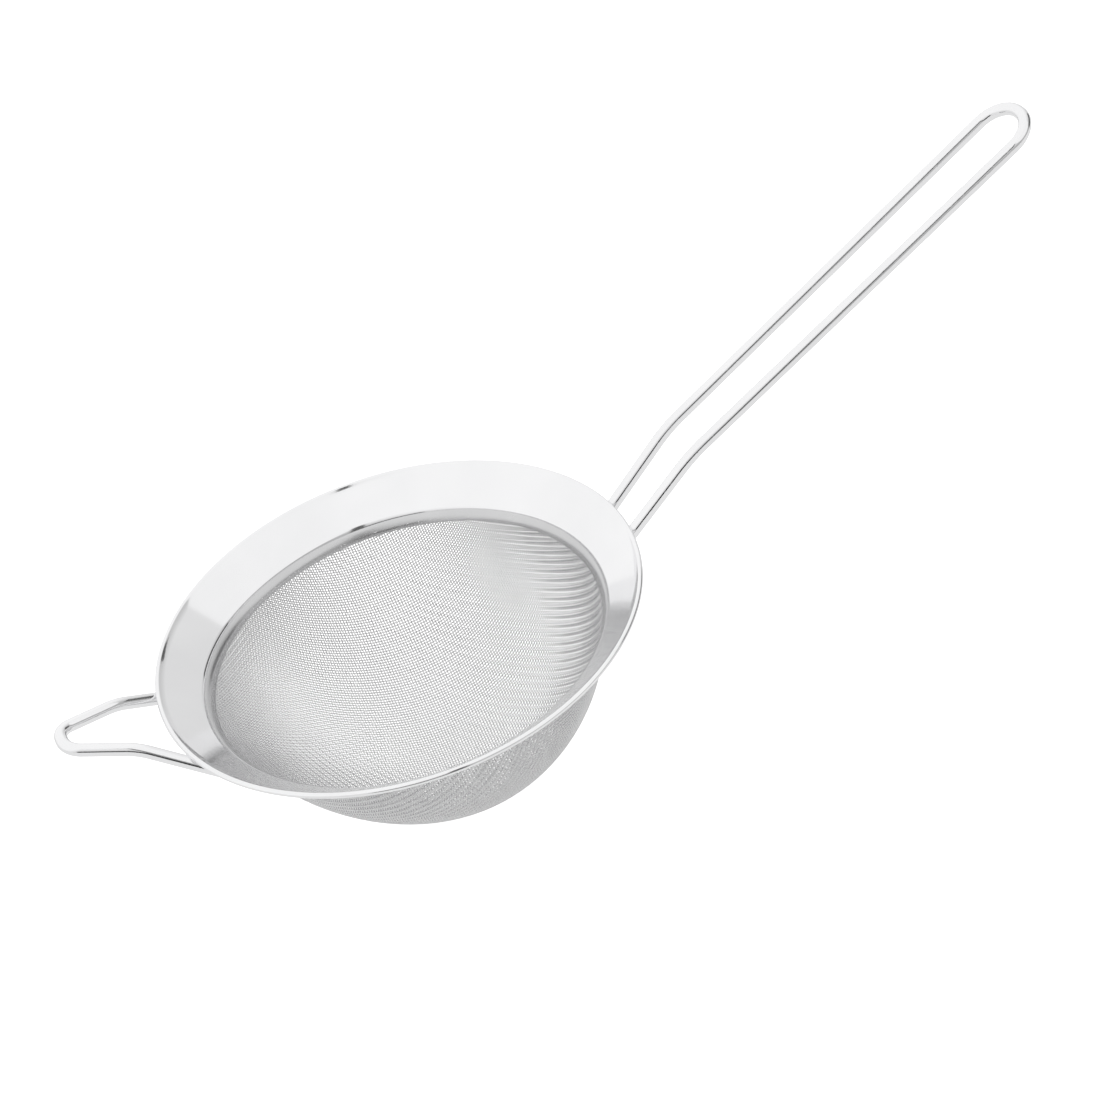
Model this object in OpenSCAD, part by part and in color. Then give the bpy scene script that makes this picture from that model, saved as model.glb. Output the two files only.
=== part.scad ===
// Tea strainer: a fine woven bowl held in a wide conical rim, with a long wire
// handle on one side and a short wire rest loop on the other.
// Z points up along the bowl's axis. The origin is the centre of the rim bead's
// plane. The handle points along +X and the rest loop along -X.
// All sizes are in millimetres.

/* [Rim] */
// outer diameter over the rolled bead
rim_d = 95; // [85:1:110]
// diameter of the rolled bead at the rim's edge
bead_d = 1.1; // [0.9:0.1:1.5]
// thickness of the rim sheet
sheet_t = 0.4; // [0.3:0.05:0.5]
// fall of the cone below the horizontal, in degrees
cone_angle = 38.5; // [34:0.5:42]

/* [Mesh bowl] */
// diameter inside the turned-down lip, where the mesh is held
seat_d = 77.5; // [72:0.5:78]
// depth of the bowl below the rim's plane
bowl_depth = 42.8; // [38:0.2:46]
// radius of the bowl's rounded bottom
bottom_r = 29.3; // [26:0.1:32]
// radius of the bowl's bulging wall
wall_r = 50; // [48:0.5:56]
// thickness of the woven cloth
mesh_t = 0.35; // [0.3:0.05:0.35]

/* [Clamp ring] */
// thickness of the ring that hides and grips the cloth's edge
clamp_t = 0.35; // [0.3:0.05:0.4]
// height of the ring's inner wall below its rounded top
clamp_wall = 1.15; // [0.9:0.05:1.5]

/* [Handle] */
// diameter of the handle and loop wire
wire_d = 2.5; // [2.2:0.1:2.6]
// distance of the handle's bend from the axis
bend_x = 62.4; // [58:0.2:68]
// height of the handle's bend above the rim's plane
bend_z = 9.4; // [8:0.2:11]
// distance of the handle's rounded end from the axis
handle_reach = 143.2; // [120:0.2:180]
// slope of the handle beyond its bend, in degrees
handle_slope = 24.1; // [15:0.1:30]
// half the gap between the legs' centres at the bend
leg_half = 5.53; // [5:0.01:7]
// half the gap between the legs' centres at the rounded end
end_half = 6.2; // [6.2:0.1:8]

/* [Rest loop] */
// distance of the loop's shoulders from the axis
shoulder_x = 53.9; // [53:0.1:58]
// half the width over the loop's shoulder centres
shoulder_half = 7.6; // [7:0.1:9]
// height of the loop's shoulders above the rim's plane
shoulder_z = 3.6; // [3.2:0.1:4.4]
// distance of the loop's rounded nose from the axis
nose_x = 65.6; // [64:0.2:72]
// height of the loop's nose above the rim's plane
nose_z = 7; // [5.5:0.1:9]
// half the distance between the nose's two corners
nose_half = 3.2; // [3:0.1:4]

/* [Hidden] */
$fn = 64;
wire_r = wire_d / 2;
bead_r = bead_d / 2;
bead_at = rim_d / 2 - bead_r;
fall = tan(cone_angle);
half_z = sheet_t / 2 / cos(cone_angle);
seat_r = seat_d / 2;
lip_out = seat_r + sheet_t;
lip_low = -fall * (bead_at - lip_out) - 1.1;
gap = 0.02;
lap = 0.1;

cloth_out = seat_r - gap;
mouth_z = lip_low + 0.1;
bottom_z = -bowl_depth + bottom_r;
apart = wall_r - bottom_r;
mouth_up = mouth_z - bottom_z;
turn_cos = (wall_r * wall_r - apart * apart - cloth_out * cloth_out - mouth_up * mouth_up)
    / (2 * apart * norm([cloth_out, mouth_up]));
turn = atan2(mouth_up, cloth_out) - acos(turn_cos);
wall_c = [-apart * cos(turn), bottom_z - apart * sin(turn)];

cloth_in = wall_c[0] + sqrt(pow(wall_r - mesh_t, 2) - pow(mouth_z - wall_c[1], 2));
clamp_out = cloth_in - gap;
clamp_in = clamp_out - clamp_t;
roll_r = 0.95;
roll_at = clamp_in + roll_r;
roll_z = -fall * (bead_at - roll_at) - 0.09;

leg_in_x = 41.1;
leg_in_z = bend_z - (bend_x - leg_in_x) * tan(36.6);
leg_in_half = 4.75;
end_x = handle_reach;
end_z = bend_z + (end_x - bend_x) * tan(handle_slope);
handle_bend_r = 30;
handle_end_r = 5.9;
handle_path = [
    [leg_in_x, leg_in_half, leg_in_z],
    [bend_x, leg_half, bend_z],
    [end_x, end_half, end_z],
    [end_x, -end_half, end_z],
    [bend_x, -leg_half, bend_z],
    [leg_in_x, -leg_in_half, leg_in_z]
];
handle_radii = [0, handle_bend_r, handle_end_r, handle_end_r, handle_bend_r, 0];

foot_x = -41;
foot_half = 13.4;
foot_z = shoulder_z - 9.24;
loop_path = [
    [foot_x, foot_half, foot_z],
    [-shoulder_x, shoulder_half, shoulder_z],
    [-nose_x, nose_half, nose_z],
    [-nose_x, -nose_half, nose_z],
    [-shoulder_x, -shoulder_half, shoulder_z],
    [foot_x, -foot_half, foot_z]
];
shoulder_r = 14;
nose_r = 3.9;
loop_radii = [0, shoulder_r, nose_r, nose_r, shoulder_r, 0];

function unit(v) = v / norm(v);
function height_under(r) = -fall * (bead_at - r) - half_z;
function cone_top(r) = -fall * (bead_at - r) + half_z + gap;

// turns a solid so that its X and Y axes lie along the two unit vectors
module along(ax, ay) {
    az = cross(ax, ay);
    rotate([atan2(ay[2], az[2]), -asin(ax[2]), atan2(ax[1], ax[0])]) children();
}

// one straight length of wire
module straight(from, to, r) {
    way = to - from;
    flat = norm([way[0], way[1]]);
    translate(from)
        rotate([0, atan2(flat, way[2]), atan2(way[1], way[0])])
        cylinder(h = norm(way), r = r);
}

// one rounded bend of wire at a corner between two straight lengths
module bend(before, corner, after, bend_r, r) {
    into = unit(corner - before);
    out = unit(after - corner);
    angle = acos(into * out);
    centre = corner + unit(out - into) * bend_r / cos(angle / 2);
    start = corner - into * bend_r * tan(angle / 2);
    translate(centre)
        along(unit(start - centre), into)
        rotate_extrude(angle = angle) translate([bend_r, 0]) circle(r = r);
}

function turn_len(path, radii, i) = radii[i] == 0 ? 0 : -lap +
    radii[i] * tan(acos(unit(path[i] - path[i - 1]) * unit(path[i + 1] - path[i])) / 2);

// a round wire that follows a path with rounded corners; the straights run a
// little way into the bends, which are a hair thicker
module wire(path, radii, r) {
    union() {
        for (i = [0 : len(path) - 2]) {
            way = unit(path[i + 1] - path[i]);
            straight(path[i] + way * turn_len(path, radii, i),
                path[i + 1] - way * turn_len(path, radii, i + 1), r);
        }
        for (i = [1 : len(path) - 2])
            bend(path[i - 1], path[i], path[i + 1], radii[i], r + 0.006);
    }
}

// conical rim of sheet metal with a rolled edge and a short turned-down lip
module rim_flange() {
    color("silver") rotate_extrude() union() {
        translate([bead_at, 0]) circle(r = bead_r);
        polygon([
            [bead_at, half_z],
            [seat_r, -fall * (bead_at - seat_r) + half_z],
            [seat_r, lip_low],
            [lip_out, lip_low],
            [lip_out, height_under(lip_out)],
            [bead_at, -half_z]
        ]);
    }
}

// rounded inner ring that covers the cloth's edge and presses it against the lip
module clamp_ring() {
    color("gainsboro") rotate_extrude() union() {
        difference() {
            translate([roll_at, roll_z]) circle(r = roll_r);
            translate([roll_at, roll_z]) circle(r = roll_r - clamp_t);
            translate([roll_at - 2, roll_z - 2]) square([4, 2]);
            polygon([
                [seat_r - 0.2, cone_top(seat_r - 0.2)],
                [seat_r + 4, cone_top(seat_r + 4)],
                [seat_r + 4, roll_z - 4],
                [seat_r - 0.2, roll_z - 4]
            ]);
        }
        translate([clamp_in, roll_z - clamp_wall]) square([clamp_t, clamp_wall]);
    }
}

// half of the bowl's section, out to its face or, with an inset, to its inside;
// the bottom is a hair larger than the wall it runs into
module bowl_area(inset, r, top) {
    meet_z = bottom_z + (bottom_r - inset) * sin(turn);
    union() {
        intersection() {
            translate(wall_c) circle(r = wall_r - inset, $fn = 160);
            translate([0, meet_z]) square([r, top - meet_z]);
        }
        intersection() {
            translate([0, bottom_z]) circle(r = bottom_r + 0.01 - inset, $fn = 160);
            translate([0, -bowl_depth - 1]) square([60, meet_z + bowl_depth + 1]);
        }
    }
}

// woven cloth pressed into a bowl, with its edge standing up between ring and lip
module mesh_bowl() {
    color("lightgrey") difference() {
        rotate_extrude() bowl_area(0, cloth_out, roll_z);
        rotate_extrude() bowl_area(mesh_t, cloth_in, roll_z + 1);
    }
}

// long handle: one wire bent back on itself at the far end
module handle_wire() {
    color("silver") wire(handle_path, handle_radii, wire_r);
}

// short loop that rests on a cup's edge opposite the handle
module rest_loop() {
    color("silver") wire(loop_path, loop_radii, wire_r);
}

// shallow weld puddle under the rim around one wire's end
module weld(path, side) {
    from = [path[0][0], side * path[0][1], path[0][2]];
    to = [path[1][0], side * path[1][1], path[1][2]];
    at = from + unit(to - from) * 1.1;
    far = norm([at[0], at[1]]);
    in = unit([-at[0], -at[1], 0]);
    up = [in[0] * sin(cone_angle), in[1] * sin(cone_angle), cos(cone_angle)];
    difference() {
        intersection() {
            translate([at[0], at[1], height_under(far)] + up * 1.6) sphere(r = 2.9, $fn = 128);
            rotate_extrude($fn = 256) polygon([
                [lip_out + 0.1, height_under(lip_out + 0.1) - gap],
                [bead_at - 0.7, height_under(bead_at - 0.7) - gap],
                [bead_at - 0.7, -12],
                [lip_out + 0.1, -12]
            ]);
        }
        straight(from, to, wire_r + 0.01, $fn = 128);
    }
}

module handle_weld_left() { color("darkgrey") weld(handle_path, 1); }
module handle_weld_right() { color("darkgrey") weld(handle_path, -1); }
module rest_weld_left() { color("darkgrey") weld(loop_path, 1); }
module rest_weld_right() { color("darkgrey") weld(loop_path, -1); }

rim_flange();
clamp_ring();
mesh_bowl();
handle_wire();
rest_loop();
handle_weld_left();
handle_weld_right();
rest_weld_left();
rest_weld_right();
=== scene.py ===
import math

import bpy
import numpy as np
from mathutils import Matrix, Vector


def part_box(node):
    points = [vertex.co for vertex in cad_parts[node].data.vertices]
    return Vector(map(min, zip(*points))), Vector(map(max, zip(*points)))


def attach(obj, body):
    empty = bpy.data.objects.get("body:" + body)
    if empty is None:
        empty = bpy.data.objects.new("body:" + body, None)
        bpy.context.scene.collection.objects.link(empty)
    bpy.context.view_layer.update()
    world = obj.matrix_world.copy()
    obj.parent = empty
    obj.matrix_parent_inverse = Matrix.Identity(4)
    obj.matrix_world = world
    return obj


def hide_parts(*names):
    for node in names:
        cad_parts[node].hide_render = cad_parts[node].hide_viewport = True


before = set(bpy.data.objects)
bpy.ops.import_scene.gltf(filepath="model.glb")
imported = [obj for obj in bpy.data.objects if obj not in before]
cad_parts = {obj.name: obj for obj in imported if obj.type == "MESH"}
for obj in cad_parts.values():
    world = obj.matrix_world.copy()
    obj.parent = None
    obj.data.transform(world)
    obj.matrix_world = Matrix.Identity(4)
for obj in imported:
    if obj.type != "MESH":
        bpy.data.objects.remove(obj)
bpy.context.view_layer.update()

MM = 0.001

# --- sizes, from the frame where it holds them, otherwise in millimetres ---

rim_low, rim_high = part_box("rim_flange")
ring_low, ring_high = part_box("clamp_ring")
bowl_low, bowl_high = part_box("mesh_bowl")

BEAD_R = rim_high.z
BEAD_AT = rim_high.x - BEAD_R
LIP_LOW = rim_low.z
SHEET = 0.4 * MM
CONE = math.radians(38.5)
LIP_IN = bowl_high.x + 0.02 * MM
LIP_OUT = LIP_IN + SHEET

BEND_AT = ring_high.x + 0.47 * MM
RING_TOP_R = ring_high.x - 0.16 * MM
RING_IN = 38.0 * MM
RING_LOW = ring_low.z

THREAD_R = 0.118 * MM
PITCH = 0.555 * MM
CROWN = 0.118 * MM
CLOTH_INSET = 0.24 * MM
BOTTOM_R = 29.3 * MM - CLOTH_INSET
WALL_R = 50.0 * MM - CLOTH_INSET
WALL_START = math.radians(28.5)
MOUTH_Z = LIP_LOW + 0.1 * MM
CLOTH_TOP = MOUTH_Z + 0.1 * MM
LEAN = 3.3 * MM
WEAVE_TURN = math.radians(-6)

ROUND_STEPS = 288
SAME_SPOT = 0.002 * MM


# --- small helpers for modelling ---

def deselect():
    if bpy.context.object and bpy.context.object.mode != "OBJECT":
        bpy.ops.object.mode_set(mode="OBJECT")
    bpy.ops.object.select_all(action="DESELECT")


def drawn(name, points):
    """An outline drawn point by point in the XZ plane: one corner, extruded from place to place."""
    deselect()
    bpy.ops.mesh.primitive_plane_add(size=MM, location=points[0])
    obj = bpy.context.object
    obj.name = name
    bpy.ops.object.transform_apply(location=True, rotation=True, scale=True)
    bpy.ops.object.mode_set(mode="EDIT")
    bpy.ops.mesh.select_all(action="SELECT")
    bpy.ops.mesh.merge(type="CENTER")
    for before, after in zip(points, points[1:]):
        step = Vector(after) - Vector(before)
        bpy.ops.mesh.extrude_region_move(TRANSFORM_OT_translate={"value": step})
    return obj


def turned(name, outline, steps=ROUND_STEPS):
    """A closed outline of (radius, height) points, spun once round the Z axis into a closed ring."""
    points = [(r, 0, z) for r, z in outline]
    obj = drawn(name, points + points[:1])
    bpy.ops.mesh.select_all(action="SELECT")
    bpy.ops.mesh.remove_doubles(threshold=SAME_SPOT)
    bpy.ops.mesh.select_all(action="SELECT")
    bpy.ops.mesh.spin(steps=steps, angle=-2 * math.pi, center=(0, 0, 0), axis=(0, 0, 1))
    bpy.ops.mesh.select_all(action="SELECT")
    bpy.ops.mesh.remove_doubles(threshold=SAME_SPOT)
    bpy.ops.mesh.normals_make_consistent(inside=False)
    bpy.ops.object.mode_set(mode="OBJECT")
    bpy.ops.object.shade_smooth_by_angle(angle=math.radians(35))
    return obj


def arc(centre, radius, start, end, count):
    """Points of an arc in an outline, from one angle to another, in degrees."""
    angles = [math.radians(start + (end - start) * k / count) for k in range(count + 1)]
    return [(centre[0] + radius * math.cos(a), centre[1] + radius * math.sin(a)) for a in angles]


def finished(obj, material, slot, *nodes):
    """Gives a piece its material, lets it ride, and hides the CAD nodes it stands for. Its slot is not used.
    """
    obj.data.materials.clear()
    obj.data.materials.append(material)
    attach(obj, "root")
    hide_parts(*nodes)
    return obj


# --- materials ---

def new_group(name, inputs, outputs):
    group = bpy.data.node_groups.new(name, "ShaderNodeTree")
    for label, kind, value in inputs:
        socket = group.interface.new_socket(name=label, in_out="INPUT", socket_type=kind)
        socket.default_value = value
    for label, kind in outputs:
        group.interface.new_socket(name=label, in_out="OUTPUT", socket_type=kind)
    return group


class Nodes:
    """Short ways to add and join the nodes of one tree."""

    def __init__(self, tree):
        self.tree = tree

    def add(self, kind, settings=None, inputs=None):
        node = self.tree.nodes.new(kind)
        for key, value in (settings or {}).items():
            setattr(node, key, value)
        for key, value in (inputs or {}).items():
            if isinstance(value, bpy.types.NodeSocket):
                self.tree.links.new(value, node.inputs[key])
            else:
                node.inputs[key].default_value = value
        return node

    def math(self, operation, a, b=0.0):
        return self.add("ShaderNodeMath", {"operation": operation}, {0: a, 1: b}).outputs[0]

    def spread(self, value, low, high):
        """Maps 0..1 onto low..high."""
        node = self.add("ShaderNodeMapRange", None, {"Value": value, "To Min": low, "To Max": high})
        return node.outputs["Result"]


def polishing_lines_group():
    """Fine lines that run round the axis, as a sheet spun under a polishing wheel keeps them."""
    group = new_group(
        "polishing_lines",
        [("Fineness", "NodeSocketFloat", 9000.0), ("Break", "NodeSocketFloat", 5.0)],
        [("Lines", "NodeSocketFloat")],
    )
    n = Nodes(group)
    given = n.add("NodeGroupInput")
    place = n.add("ShaderNodeTexCoord").outputs["Object"]
    parts = n.add("ShaderNodeSeparateXYZ", None, {0: place})
    flat = n.add("ShaderNodeVectorMath", {"operation": "MULTIPLY"}, {0: place, 1: (1, 1, 0)})
    far = n.add("ShaderNodeVectorMath", {"operation": "LENGTH"}, {0: flat.outputs["Vector"]})
    along = n.add("ShaderNodeVectorMath", {"operation": "NORMALIZE"}, {0: flat.outputs["Vector"]})
    way = n.add("ShaderNodeSeparateXYZ", None, {0: along.outputs["Vector"]})
    slant = n.math("SUBTRACT", far.outputs["Value"], parts.outputs["Z"])
    across = n.math("MULTIPLY", slant, given.outputs["Fineness"])
    spot = n.add("ShaderNodeCombineXYZ", None, {
        0: n.math("MULTIPLY", way.outputs["X"], given.outputs["Break"]),
        1: n.math("MULTIPLY", way.outputs["Y"], given.outputs["Break"]),
        2: across,
    })
    noise = n.add("ShaderNodeTexNoise", None, {
        "Vector": spot.outputs[0], "Scale": 1.0, "Detail": 3.0, "Roughness": 0.6,
    })
    n.add("NodeGroupOutput", None, {"Lines": noise.outputs["Fac"]})
    return group


def handling_group():
    """Faint smears and specks from use: a slow cloudy mask and a mask of small scratches."""
    group = new_group(
        "handling_marks",
        [("Cloud Size", "NodeSocketFloat", 60.0), ("Scratch Size", "NodeSocketFloat", 400.0)],
        [("Smears", "NodeSocketFloat"), ("Scratches", "NodeSocketFloat")],
    )
    n = Nodes(group)
    given = n.add("NodeGroupInput")
    place = n.add("ShaderNodeTexCoord").outputs["Object"]
    cloud = n.add("ShaderNodeTexNoise", None, {
        "Vector": place, "Scale": given.outputs["Cloud Size"], "Detail": 4.0, "Distortion": 0.4,
    })
    stretched = n.add("ShaderNodeMapping", None, {
        "Vector": place, "Rotation": (0.3, 0.2, 0.7), "Scale": (1.0, 12.0, 5.0),
    })
    line = n.add("ShaderNodeTexNoise", None, {
        "Vector": stretched.outputs[0], "Scale": given.outputs["Scratch Size"], "Detail": 2.0,
    })
    thin = n.add("ShaderNodeMapRange", None, {
        "Value": line.outputs["Fac"], "From Min": 0.62, "From Max": 0.72,
    })
    n.add("NodeGroupOutput", None, {"Smears": cloud.outputs["Fac"], "Scratches": thin.outputs["Result"]})
    return group


LINES = polishing_lines_group()
HANDLING = handling_group()


def steel(name, dark, light, rough, lines=None, bump=0.02, cloud=60.0, scratch=400.0):
    """Bare steel: tone and roughness vary a little with smears, scratches and polishing lines."""
    material = bpy.data.materials.new(name)
    material.use_nodes = True
    tree = material.node_tree
    n = Nodes(tree)
    shader = tree.nodes["Principled BSDF"]
    shader.inputs["Metallic"].default_value = 1.0
    marks = n.add("ShaderNodeGroup", {"node_tree": HANDLING}, {"Cloud Size": cloud, "Scratch Size": scratch})
    if lines:
        grain = n.add("ShaderNodeGroup", {"node_tree": LINES}, lines).outputs["Lines"]
    else:
        grain = marks.outputs["Scratches"]
    tone = n.add("ShaderNodeMix", {"data_type": "RGBA"}, {
        "Factor": marks.outputs["Smears"], "A": (*dark, 1), "B": (*light, 1),
    })
    tree.links.new(tone.outputs["Result"], shader.inputs["Base Color"])
    mixed = n.math("ADD", n.math("MULTIPLY", marks.outputs["Smears"], 0.5), n.math("MULTIPLY", grain, 0.5))
    tree.links.new(n.spread(mixed, rough[0], rough[1]), shader.inputs["Roughness"])
    relief = n.add("ShaderNodeBump", None, {"Strength": bump, "Distance": 0.05 * MM, "Height": grain})
    tree.links.new(relief.outputs["Normal"], shader.inputs["Normal"])
    return material


polished_sheet = steel(
    "polished_sheet", (0.83, 0.83, 0.84), (0.93, 0.93, 0.935), (0.05, 0.14),
    lines={"Fineness": 9000.0, "Break": 6.0}, bump=0.05,
)
satin_ring = steel(
    "satin_ring", (0.56, 0.56, 0.565), (0.68, 0.68, 0.685), (0.16, 0.34),
    lines={"Fineness": 14000.0, "Break": 9.0}, bump=0.18,
)
bright_wire = steel("bright_wire", (0.84, 0.84, 0.85), (0.93, 0.93, 0.935), (0.07, 0.18), bump=0.06)
thread_steel = steel(
    "thread_steel", (0.73, 0.73, 0.735), (0.84, 0.84, 0.845), (0.14, 0.26), cloud=300.0, scratch=2500.0,
)
weld_metal = steel(
    "weld_metal", (0.36, 0.33, 0.30), (0.62, 0.60, 0.58), (0.30, 0.60), bump=0.5, cloud=700.0, scratch=900.0,
)


# --- camera ---

TURN = math.radians(-12.65)
RAISE = math.radians(36.92)
ROLL = math.radians(17.46)
AWAY = 0.53703
SIDE = 0.02892
UP = 0.01269
LENS = 93.5
SENSOR = 36


def make_camera():
    back = Vector((math.sin(TURN) * math.cos(RAISE), -math.cos(TURN) * math.cos(RAISE), math.sin(RAISE)))
    level = Vector((math.cos(TURN), math.sin(TURN), 0))
    above = back.cross(level)
    right = level * math.cos(ROLL) - above * math.sin(ROLL)
    up = level * math.sin(ROLL) + above * math.cos(ROLL)
    data = bpy.data.cameras.new("camera")
    data.sensor_width = SENSOR
    data.lens = LENS
    data.clip_start = 0.01
    data.clip_end = 20
    camera = bpy.data.objects.new("camera", data)
    bpy.context.scene.collection.objects.link(camera)
    turn = Matrix((right, up, back)).transposed().to_4x4()
    camera.matrix_world = Matrix.Translation(back * AWAY + right * SIDE + up * UP) @ turn
    bpy.context.scene.camera = camera


# --- studio ---

def plain_material(name, colour, glow=0.0):
    material = bpy.data.materials.new(name)
    material.use_nodes = True
    shader = material.node_tree.nodes["Principled BSDF"]
    shader.inputs["Base Color"].default_value = (*colour, 1)
    shader.inputs["Roughness"].default_value = 0.9
    shader.inputs["Specular IOR Level"].default_value = 0.0
    shader.inputs["Emission Color"].default_value = (1, 1, 1, 1)
    shader.inputs["Emission Strength"].default_value = glow
    return material


def make_sheet(name, z, tone, glow):
    deselect()
    bpy.ops.mesh.primitive_plane_add(size=6, location=(0, 0, z))
    sheet = bpy.context.object
    sheet.name = name
    sheet.data.materials.append(plain_material(name + "_paint", (tone, tone, tone), glow))
    return sheet


def make_floor():
    """A pale floor, and a greyer sheet just under it that only the polished metal sees."""
    floor = make_sheet("floor", bowl_low.z - 0.15 * MM, tone=0.75, glow=0.70)
    floor.visible_glossy = False
    under = make_sheet("grey_sheet", bowl_low.z - 0.6 * MM, tone=0.3, glow=0.52)
    under.visible_camera = False
    under.visible_diffuse = False


def stand_card(name, turn, width, low, high, colour):
    """A card on end around the object that only shows in the metal. All its angles are in degrees:
    turn goes from the front to the right, and width, low and high are as seen from the object."""
    far = 1.5
    a = math.radians(turn)
    bottom, top = far * math.tan(math.radians(low)), far * math.tan(math.radians(high))
    deselect()
    bpy.ops.mesh.primitive_plane_add(size=1, location=(0, 0, 0))
    card = bpy.context.object
    card.name = name
    card.scale = (2 * far * math.tan(math.radians(width / 2)), top - bottom, 1)
    card.rotation_euler = (math.pi / 2, 0, a)
    card.location = (far * math.sin(a), -far * math.cos(a), (bottom + top) / 2)
    bpy.ops.object.transform_apply(location=True, rotation=True, scale=True)
    card.data.materials.append(plain_material(name + "_paper", colour))
    card.visible_camera = False
    card.visible_diffuse = False
    card.visible_shadow = False


def make_softbox(name, place, size, power):
    light = bpy.data.lights.new(name, "AREA")
    light.shape = "SQUARE"
    light.size = size
    light.energy = power
    box = bpy.data.objects.new(name, light)
    bpy.context.scene.collection.objects.link(box)
    box.location = place
    box.visible_glossy = False
    box.rotation_mode = "QUATERNION"
    box.rotation_quaternion = (-Vector(place)).to_track_quat("-Z", "Y")


def make_world():
    """A white tent, brightest up and to the back left, with a bright panel up on the right."""
    world = bpy.data.worlds.new("white_tent")
    bpy.context.scene.world = world
    world.use_nodes = True
    n = Nodes(world.node_tree)
    way = n.add("ShaderNodeTexCoord").outputs["Generated"]
    tent_way = (-0.45, 0.45, 0.77)
    panel_way = (0.485, -0.379, 0.788)
    tent = n.add("ShaderNodeVectorMath", {"operation": "DOT_PRODUCT"}, {0: way, 1: tent_way})
    tent_tone = n.add("ShaderNodeMapRange", {"interpolation_type": "SMOOTHSTEP"}, {
        "Value": tent.outputs["Value"],
        "From Min": -0.35, "From Max": 0.6, "To Min": 0.48, "To Max": 1.02,
    })
    panel = n.add("ShaderNodeVectorMath", {"operation": "DOT_PRODUCT"}, {0: way, 1: panel_way})
    panel_tone = n.add("ShaderNodeMapRange", {"interpolation_type": "SMOOTHSTEP"}, {
        "Value": panel.outputs["Value"],
        "From Min": 0.805, "From Max": 0.83, "To Min": 0.0, "To Max": 0.99,
    })
    tone = n.math("MAXIMUM", tent_tone.outputs["Result"], panel_tone.outputs["Result"])
    back = world.node_tree.nodes["Background"]
    world.node_tree.links.new(tone, back.inputs["Color"])
    back.inputs["Strength"].default_value = 1.0


def make_studio():
    make_world()
    make_softbox("key_softbox", place=(-0.5, -0.1, 0.9), size=0.6, power=0.9)
    black = (0.015, 0.015, 0.015)
    grey = (0.1, 0.1, 0.1)
    stand_card("lens_card", turn=-5.5, width=8, low=1, high=55, colour=grey)
    stand_card("front_card", turn=-21, width=40, low=-3, high=15, colour=black)
    stand_card("low_right_card", turn=100, width=36, low=-3, high=20, colour=grey)
    view = bpy.context.scene.view_settings
    view.view_transform = "Standard"
    view.look = "None"


# --- rim: a conical sheet with a curled bead and a turned-down lip ---

def cone_mid(r):
    return -math.tan(CONE) * (BEAD_AT - r)


def make_rim():
    half = SHEET / 2 / math.cos(CONE)
    bead_z = -0.34 * MM
    crease = 0.5 * MM
    soft = 0.05 * MM
    lip_turn = 165
    up = 90 + math.degrees(CONE)
    outline = arc((BEAD_AT, bead_z), BEAD_R, up + 115 - 360, up + 3, 24)
    last_r = BEAD_AT - crease
    bend_r = 1.6 * MM
    start = BEND_AT
    for k in range(9):
        r = last_r + (start + 0.1 * MM - last_r) * k / 8
        outline.append((r, cone_mid(r) + half))
    way = math.radians(up)
    centre = (start - bend_r * math.cos(way), cone_mid(start) + half - bend_r * math.sin(way))
    outline += arc(centre, bend_r, up, lip_turn, 9)
    outline += [(LIP_IN, LIP_LOW + 0.4 * MM), (LIP_IN, LIP_LOW + soft), (LIP_IN + soft, LIP_LOW)]
    outline += [(LIP_OUT - soft, LIP_LOW), (LIP_OUT, LIP_LOW + soft), (LIP_OUT, LIP_LOW + 0.5 * MM)]
    outline += [(LIP_OUT + 0.35 * MM, LIP_LOW + 0.95 * MM)]
    under = LIP_OUT + 0.95 * MM
    for k in range(9):
        r = under + (last_r - 0.2 * MM - under) * k / 8
        outline.append((r, cone_mid(r) - half))
    return finished(turned("rim", outline), polished_sheet, "polished_sheet", "rim_flange")


# --- clamp ring: a satin collar that slopes from the sheet down to the cloth ---

def make_ring():
    top = (RING_TOP_R, cone_mid(RING_TOP_R) + 0.1 * MM)
    foot = (RING_IN, RING_LOW - 0.3 * MM)
    bulge_high = 0.22 * MM
    chord = Vector((foot[0] - top[0], foot[1] - top[1]))
    bulge = Vector((chord.y, -chord.x)).normalized() * bulge_high
    face = []
    face_steps = 12
    for k in range(face_steps + 1):
        t = k / face_steps
        swell = 4 * t * (1 - t)
        face.append((top[0] + chord.x * t + bulge.x * swell, top[1] + chord.y * t + bulge.y * swell))
    lip = arc((top[0] + 0.02 * MM, top[1] - 0.09 * MM), 0.1 * MM, -20, 100, 5)
    back = [
        (foot[0] + 0.12 * MM, foot[1] - 0.03 * MM),
        (foot[0] + 0.3 * MM, foot[1] + 0.1 * MM),
        (foot[0] + 0.42 * MM, foot[1] + 0.9 * MM),
        (LIP_IN, LIP_LOW + 0.7 * MM),
    ]
    return finished(turned("ring", lip + face + back), satin_ring, "satin_ring", "clamp_ring")


# --- bowl: twill-woven cloth ---

WALL_S = BOTTOM_R * WALL_START
DOME_Z = bowl_low.z + CLOTH_INSET + BOTTOM_R
WALL_X = -(WALL_R - BOTTOM_R) * math.sin(WALL_START)
WALL_Z = DOME_Z + (WALL_R - BOTTOM_R) * math.cos(WALL_START)
MOUTH_TURN = math.acos((WALL_Z - MOUTH_Z) / WALL_R)
MOUTH_S = WALL_S + WALL_R * (MOUTH_TURN - WALL_START)


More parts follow.
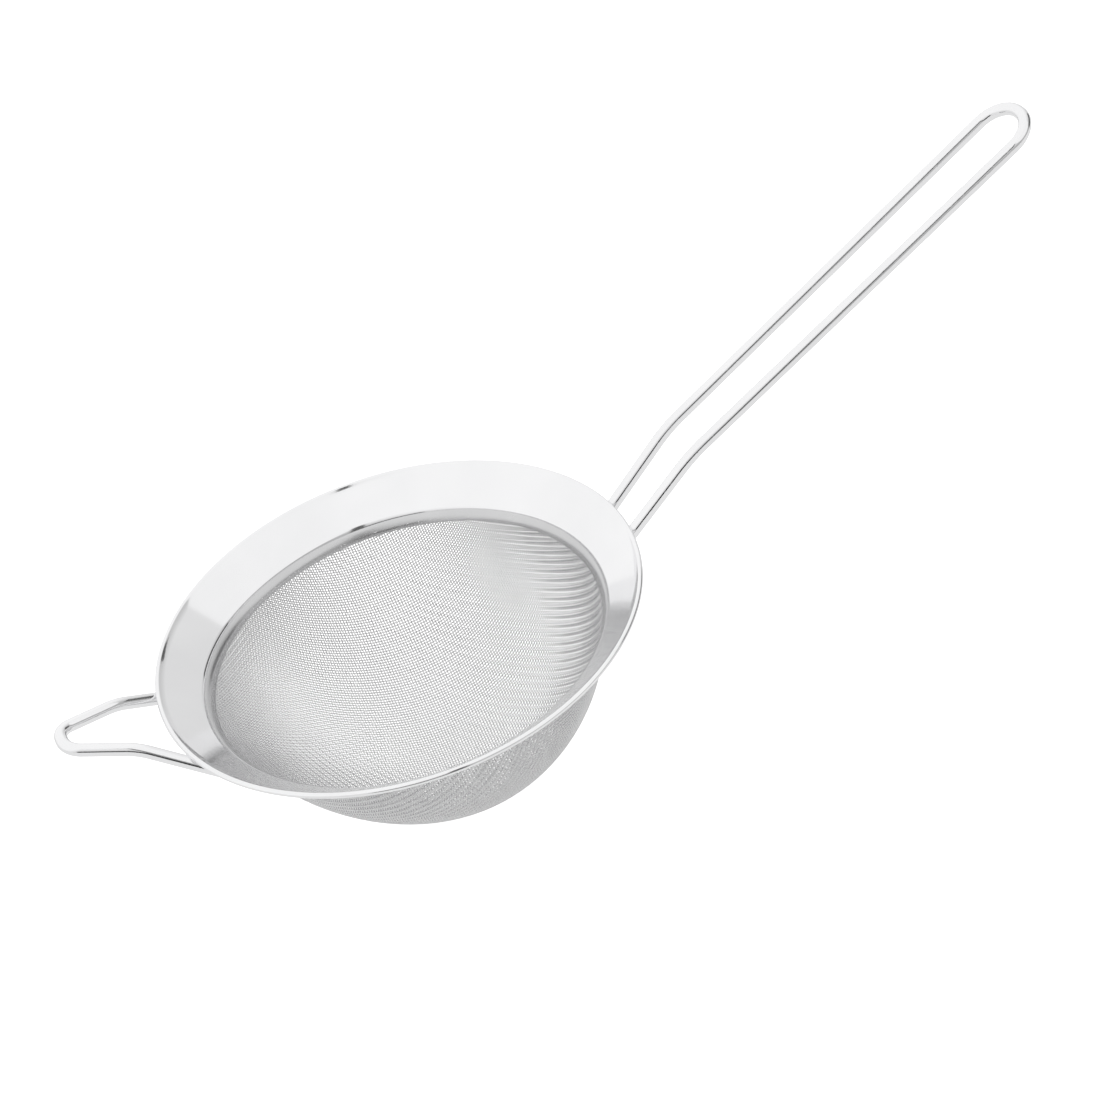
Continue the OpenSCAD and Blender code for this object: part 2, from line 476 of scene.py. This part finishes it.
def cloth_place(uv):
    """Where the middle of the cloth is, u and v being measured along it from its lowest point."""
    s = np.maximum(np.hypot(uv[..., 0], uv[..., 1]), 1e-9)
    dome = np.minimum(s, WALL_S) / BOTTOM_R
    wall = WALL_START + (np.clip(s, WALL_S, MOUTH_S) - WALL_S) / WALL_R
    on_dome = s <= WALL_S
    r = np.where(on_dome, BOTTOM_R * np.sin(dome), WALL_X + WALL_R * np.sin(wall))
    z = np.where(on_dome, DOME_Z - BOTTOM_R * np.cos(dome), WALL_Z - WALL_R * np.cos(wall))
    z = z + np.maximum(s - MOUTH_S, 0)
    lean = LEAN * np.clip((MOUTH_Z - z) / (MOUTH_Z - bowl_low.z), 0, 1)
    return np.stack([r * uv[..., 0] / s + lean, r * uv[..., 1] / s, z], -1)


def slopes(uv):
    """How the place changes with u and with v."""
    step = 0.01 * MM
    du = (cloth_place(uv + (step, 0)) - cloth_place(uv - (step, 0))) / (2 * step)
    dv = (cloth_place(uv + (0, step)) - cloth_place(uv - (0, step))) / (2 * step)
    return du, dv


def first_thread(way, count):
    """Crossings one pitch apart, straight up the bowl from its lowest point."""
    spots = [np.zeros(2)]
    for _ in range(count):
        spot = spots[-1] + way * PITCH
        for _ in range(4):
            gap = np.linalg.norm(cloth_place(spot) - cloth_place(spots[-1]))
            spot = spots[-1] + (spot - spots[-1]) * PITCH / gap
        spots.append(spot)
    return np.array(spots)


def next_crossings(a, b, c):
    """The crossings one pitch from a and one pitch from b, on the side away from c."""
    uv = a + b - c
    place_a, place_b = cloth_place(a), cloth_place(b)
    for _ in range(8):
        here = cloth_place(uv)
        du, dv = slopes(uv)
        to_a, to_b = here - place_a, here - place_b
        miss_a = (to_a ** 2).sum(-1) - PITCH ** 2
        miss_b = (to_b ** 2).sum(-1) - PITCH ** 2
        m = 2 * np.stack([
            (to_a * du).sum(-1), (to_a * dv).sum(-1),
            (to_b * du).sum(-1), (to_b * dv).sum(-1),
        ], -1)
        det = m[..., 0] * m[..., 3] - m[..., 1] * m[..., 2]
        det = np.where(np.abs(det) < 1e-12, 1e-12, det)
        move_u = (m[..., 3] * miss_a - m[..., 1] * miss_b) / det
        move_v = (m[..., 0] * miss_b - m[..., 2] * miss_a) / det
        uv = uv - np.clip(np.stack([move_u, move_v], -1), -PITCH / 2, PITCH / 2)
    return uv


def woven_net():
    """The crossings of a net whose threads keep their pitch while it is pressed over the bowl."""
    reach = int((MOUTH_S + 4 * MM) / PITCH)
    count = 2 * reach + 1
    net = np.full((count, count, 2), np.nan)
    along_i = np.array([math.cos(WEAVE_TURN), math.sin(WEAVE_TURN)])
    along_j = np.array([-math.sin(WEAVE_TURN), math.cos(WEAVE_TURN)])
    net[reach:, reach] = first_thread(along_i, reach)
    net[reach::-1, reach] = first_thread(-along_i, reach)
    net[reach, reach:] = first_thread(along_j, reach)
    net[reach, reach::-1] = first_thread(-along_j, reach)
    limit = MOUTH_S + 2.2 * MM
    for way_i in (-1, 1):
        for way_j in (-1, 1):
            for total in range(2, 2 * reach + 1):
                k = np.arange(max(1, total - reach), min(reach, total - 1) + 1)
                i = reach + way_i * k
                j = reach + way_j * (total - k)
                a, b, c = net[i - way_i, j], net[i, j - way_j], net[i - way_i, j - way_j]
                near = (np.hypot(a[:, 0], a[:, 1]) < limit) & (np.hypot(b[:, 0], b[:, 1]) < limit)
                if not near.any():
                    continue
                found = next_crossings(a[near], b[near], c[near])
                net[i[near], j[near]] = found
    return net


def thread_tube(centres, normals):
    """Corners and faces of one four-sided thread through its centres, closed at both ends."""
    way = np.gradient(centres, axis=0)
    way /= np.linalg.norm(way, axis=1)[:, None]
    side = np.cross(way, normals)
    side /= np.linalg.norm(side, axis=1)[:, None]
    lift = np.cross(side, way)
    corners = np.stack([
        centres + lift * THREAD_R, centres + side * THREAD_R,
        centres - lift * THREAD_R, centres - side * THREAD_R,
    ], 1).reshape(-1, 3)
    first = np.arange(len(centres) - 1)[:, None] * 4
    faces = []
    for k in range(4):
        nxt = (k + 1) % 4
        faces.append(np.concatenate([first + k, first + k + 4, first + nxt + 4, first + nxt], 1))
    last = 4 * (len(centres) - 1)
    caps = np.array([[0, 1, 2, 3], [last + 3, last + 2, last + 1, last]])
    return corners, np.concatenate(faces + [caps])


def woven_piece(name, threads):
    """One piece made of many threads."""
    corners, faces, used = [], [], 0
    for centres, normals in threads:
        c, f = thread_tube(centres, normals)
        corners.append(c)
        faces.append(f + used)
        used += len(c)
    mesh = bpy.data.meshes.new(name)
    mesh.from_pydata(np.concatenate(corners).tolist(), [], np.concatenate(faces).tolist())
    mesh.polygons.foreach_set("use_smooth", [True] * len(mesh.polygons))
    mesh.update()
    obj = bpy.data.objects.new(name, mesh)
    bpy.context.scene.collection.objects.link(obj)
    return finished(obj, thread_steel, "woven_mesh", "mesh_bowl")


def make_bowl():
    net = woven_net()
    place = cloth_place(net)
    du, dv = slopes(net)
    inward = np.cross(du, dv)
    inward /= np.linalg.norm(inward, axis=-1)[..., None]
    inside = np.isfinite(place[..., 2]) & (place[..., 2] < CLOTH_TOP)
    count = len(net)
    index = np.arange(count)
    over = ((index[:, None] + index[None, :]) % 4) < 2
    lift = np.where(over, CROWN, -CROWN)[..., None] * inward
    families = {"warp": [], "weft": []}
    for k in range(count):
        for family, line, sign in (("warp", np.s_[:, k], 1), ("weft", np.s_[k, :], -1)):
            held = np.flatnonzero(inside[line])
            if len(held) < 3:
                continue
            held = np.arange(held[0], held[-1] + 1)
            centres = (place[line] + sign * lift[line])[held]
            if np.isfinite(centres).all():
                families[family].append((k, centres, inward[line][held]))
    half = count // 2
    for family, low_name, high_name in (("warp", "near", "far"), ("weft", "left", "right")):
        low = [(c, n) for k, c, n in families[family] if k < half]
        high = [(c, n) for k, c, n in families[family] if k >= half]
        woven_piece("cloth_" + family + "_" + low_name, low)
        woven_piece("cloth_" + family + "_" + high_name, high)


# --- wires: a circle of wire pushed along each straight and swung through each bend ---

WIRE = 2.5
HANDLE_PATH = [(41.1, 4.75, -6.42), (62.4, 5.53, 9.4), (143.2, 6.2, 45.54)]
HANDLE_BENDS = [30, 5.9]
LOOP_PATH = [(-41, 13.4, -5.64), (-53.9, 7.6, 3.6), (-65.6, 3.2, 7)]
LOOP_BENDS = [14, 3.9]


def both_sides(half):
    """A path, or a list of bends, followed by the same on the other side in reverse."""
    if isinstance(half[0], tuple):
        return [Vector(p) * MM for p in half] + [Vector((x, -y, z)) * MM for x, y, z in reversed(half)]
    return [r * MM for r in half] + [r * MM for r in reversed(half)]


def bent_wire(name, half_path, half_bends, node):
    path, bends = both_sides(half_path), both_sides(half_bends)
    ways = [(after - before).normalized() for before, after in zip(path, path[1:])]
    deselect()
    bpy.ops.mesh.primitive_circle_add(
        vertices=32, radius=WIRE / 2 * MM, location=path[0],
        rotation=ways[0].to_track_quat("Z", "Y").to_euler(),
    )
    obj = bpy.context.object
    obj.name = name
    bpy.ops.object.transform_apply(location=True, rotation=True, scale=True)
    bpy.ops.object.mode_set(mode="EDIT")
    bpy.ops.mesh.select_all(action="SELECT")
    spot = path[0]
    for before, after, corner, bend in zip(ways, ways[1:], path[1:], bends):
        turn = before.angle(after)
        leave = bend * math.tan(turn / 2)
        bpy.ops.mesh.extrude_region_move(TRANSFORM_OT_translate={"value": corner - before * leave - spot})
        centre = corner + (after - before).normalized() * bend / math.cos(turn / 2)
        steps = max(10, round(math.degrees(turn) / 3))
        bpy.ops.mesh.spin(steps=steps, angle=-turn, center=centre, axis=before.cross(after).normalized())
        spot = corner + after * leave
    bpy.ops.mesh.extrude_region_move(TRANSFORM_OT_translate={"value": path[-1] - spot})
    bpy.ops.mesh.select_all(action="SELECT")
    bpy.ops.mesh.remove_doubles(threshold=SAME_SPOT)
    bpy.ops.mesh.fill_holes(sides=0)
    bpy.ops.mesh.select_all(action="SELECT")
    bpy.ops.mesh.normals_make_consistent(inside=False)
    bpy.ops.object.mode_set(mode="OBJECT")
    bpy.ops.object.shade_smooth_by_angle(angle=math.radians(50))
    return finished(obj, bright_wire, "polished_wire", node)


# --- welds: shallow puddles under the sheet, one round each wire's end ---

WELD_ALONG = 1.1 * MM
WELD_R = 2.85 * MM
WELD_SUNK = 1.6 * MM
WELD_GAP = 0.05 * MM


def make_weld(name, path, side, node):
    foot = Vector((path[0][0], side * path[0][1], path[0][2])) * MM
    after = Vector((path[1][0], side * path[1][1], path[1][2])) * MM
    at = foot + (after - foot).normalized() * WELD_ALONG
    inward = Vector((-at.x, -at.y, 0)).normalized()
    up = inward * math.sin(CONE) + Vector((0, 0, math.cos(CONE)))
    far = math.hypot(at.x, at.y)
    base = Vector((at.x, at.y, cone_mid(far) - SHEET / 2 / math.cos(CONE)))
    deselect()
    bpy.ops.mesh.primitive_uv_sphere_add(
        segments=48, ring_count=32, radius=WELD_R, location=base + up * WELD_SUNK,
    )
    obj = bpy.context.object
    obj.name = name
    bpy.ops.object.transform_apply(location=True, rotation=True, scale=True)
    bpy.ops.object.mode_set(mode="EDIT")
    bpy.ops.mesh.select_all(action="SELECT")
    bpy.ops.mesh.bisect(plane_co=base + up * WELD_GAP, plane_no=up, use_fill=True, clear_outer=True)
    bpy.ops.object.mode_set(mode="OBJECT")
    lumps = bpy.data.textures.new(name, "CLOUDS")
    lumps.noise_scale = 1.1 * MM
    swell = obj.modifiers.new("lumps", "DISPLACE")
    swell.texture = lumps
    swell.strength = 0.3 * MM
    swell.mid_level = 0.6
    bpy.ops.object.modifier_apply(modifier="lumps")
    bpy.ops.object.shade_smooth_by_angle(angle=math.radians(60))
    return finished(obj, weld_metal, "weld_metal", node)


make_camera()
make_floor()
make_studio()
make_rim()
make_ring()
make_bowl()
bent_wire("handle", HANDLE_PATH, HANDLE_BENDS, "handle_wire")
bent_wire("rest", LOOP_PATH, LOOP_BENDS, "rest_loop")
for side, word in ((1, "left"), (-1, "right")):
    make_weld("weld_handle_" + word, HANDLE_PATH, side, "handle_weld_" + word)
    make_weld("weld_rest_" + word, LOOP_PATH, side, "rest_weld_" + word)
